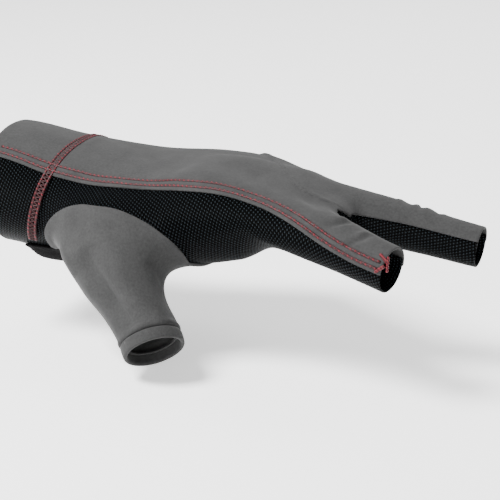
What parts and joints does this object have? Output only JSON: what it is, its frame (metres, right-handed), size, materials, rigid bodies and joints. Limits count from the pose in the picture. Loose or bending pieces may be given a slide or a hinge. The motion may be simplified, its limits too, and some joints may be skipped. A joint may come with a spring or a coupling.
{
  "type": "billiard glove",
  "caption": "Three-finger stretch glove for the bridge hand: grey back, black mesh underside and gusset, open fingertips, hemmed thumb, cuff with a strap, red double stitching.",
  "frame": {"origin": "centre of the cuff mouth, where the wrist leaves the glove", "axes": "+X from the cuff to the fingertips, +Y to the little finger's side, +Z out of the back of the hand, which is held palm down"},
  "size_m": [0.1949, 0.1065, 0.077],
  "materials": {
    "grey_knit": "fine warp knit with a soft dull sheen",
    "black_mesh": "spacer mesh with small raised glossy ribs",
    "black_pile": "hook and loop closure, matt"
  },
  "bodies": {
    "root": {"cuff_back": "grey_knit", "cuff_underside": "black_mesh", "back_panel": "grey_knit", "middle_finger_back": "grey_knit", "palm_panel": "black_mesh", "finger_gusset": "black_mesh", "thumb_stall": "grey_knit", "thumb_hem": "grey_knit", "wrist_strap": "black_pile"}
  },
  "joints": []
}
